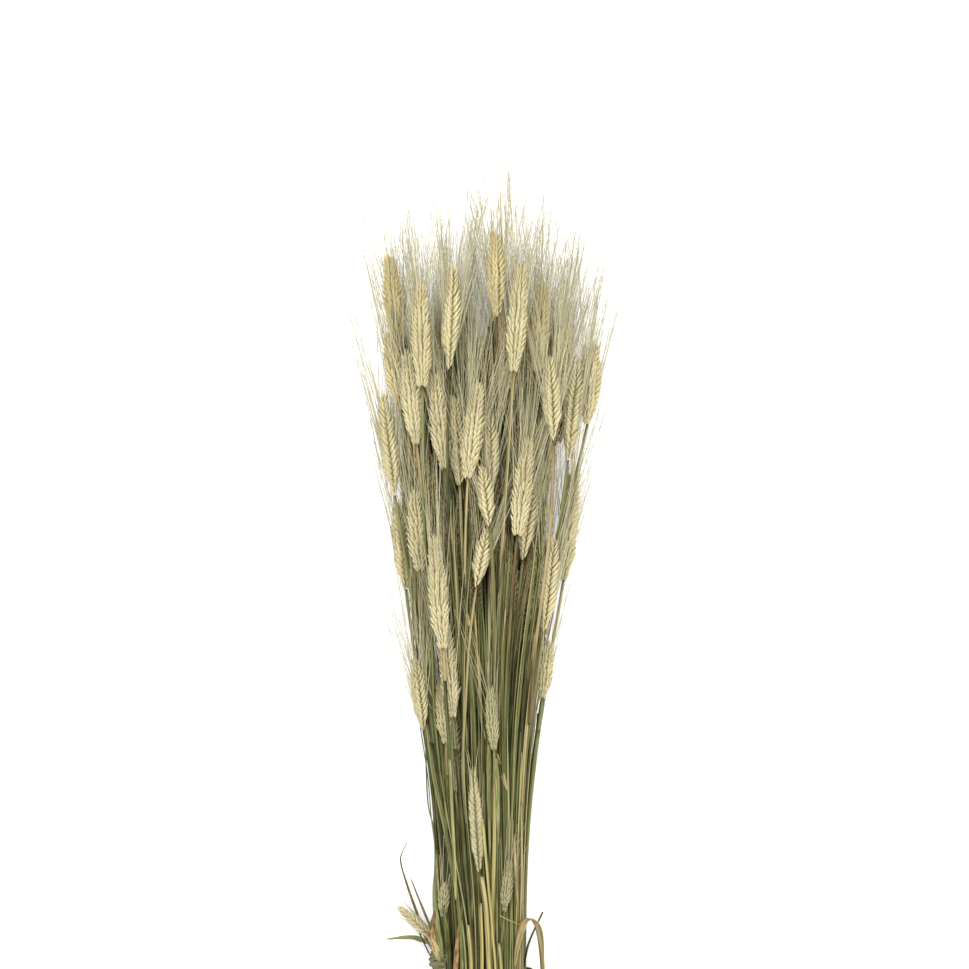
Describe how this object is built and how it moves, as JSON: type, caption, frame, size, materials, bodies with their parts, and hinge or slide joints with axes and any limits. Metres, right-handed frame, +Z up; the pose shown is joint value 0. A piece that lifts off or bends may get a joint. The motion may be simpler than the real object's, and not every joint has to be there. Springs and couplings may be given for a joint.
{
  "type": "tied bunch of dried wheat",
  "caption": "Bunch of dried bearded wheat on long straw stems, held by a wound tie near the cut ends and lying flat for display.",
  "frame": {"origin": "middle of the flat underside of the tie, on the surface the bunch lies on", "axes": "+Y along the stems from the tie to the ears, +Z up from the surface, +X to the right seen from above"},
  "size_m": [0.1855, 0.7143, 0.0922],
  "materials": {
    "ear": "matt, dry chaff",
    "stem": "satin straw",
    "leaf": "matt, papery",
    "tie": "matt strip"
  },
  "bodies": {
    "root": {"stems_1": "stem", "stems_2": "stem", "stems_3": "stem", "stems_4": "stem", "stems_5": "stem", "stems_6": "stem", "ear_01": "ear", "ear_02": "ear", "ear_03": "ear", "ear_04": "ear", "ear_05": "ear", "ear_06": "ear", "ear_07": "ear", "ear_08": "ear", "ear_09": "ear", "ear_10": "ear", "ear_11": "ear", "ear_12": "ear", "ear_13": "ear", "ear_14": "ear", "ear_15": "ear", "ear_16": "ear", "ear_17": "ear", "ear_18": "ear", "ear_19": "ear", "ear_20": "ear", "ear_21": "ear", "ear_22": "ear", "ear_23": "ear", "ear_24": "ear", "ear_25": "ear", "ear_26": "ear", "ear_27": "ear", "ear_28": "ear", "ear_29": "ear", "ear_30": "ear", "ear_31": "ear", "ear_32": "ear", "ear_33": "ear", "ear_34": "ear", "ear_35": "ear", "ear_36": "ear", "ear_37": "ear", "ear_38": "ear", "ear_39": "ear", "ear_40": "ear", "ear_41": "ear", "ear_42": "ear", "ear_43": "ear", "ear_44": "ear", "ear_45": "ear", "ear_46": "ear", "ear_47": "ear", "ear_48": "ear", "tie": "tie", "leaf_1": "leaf", "leaf_2": "leaf", "leaf_3": "leaf", "leaf_4": "leaf"}
  },
  "joints": []
}
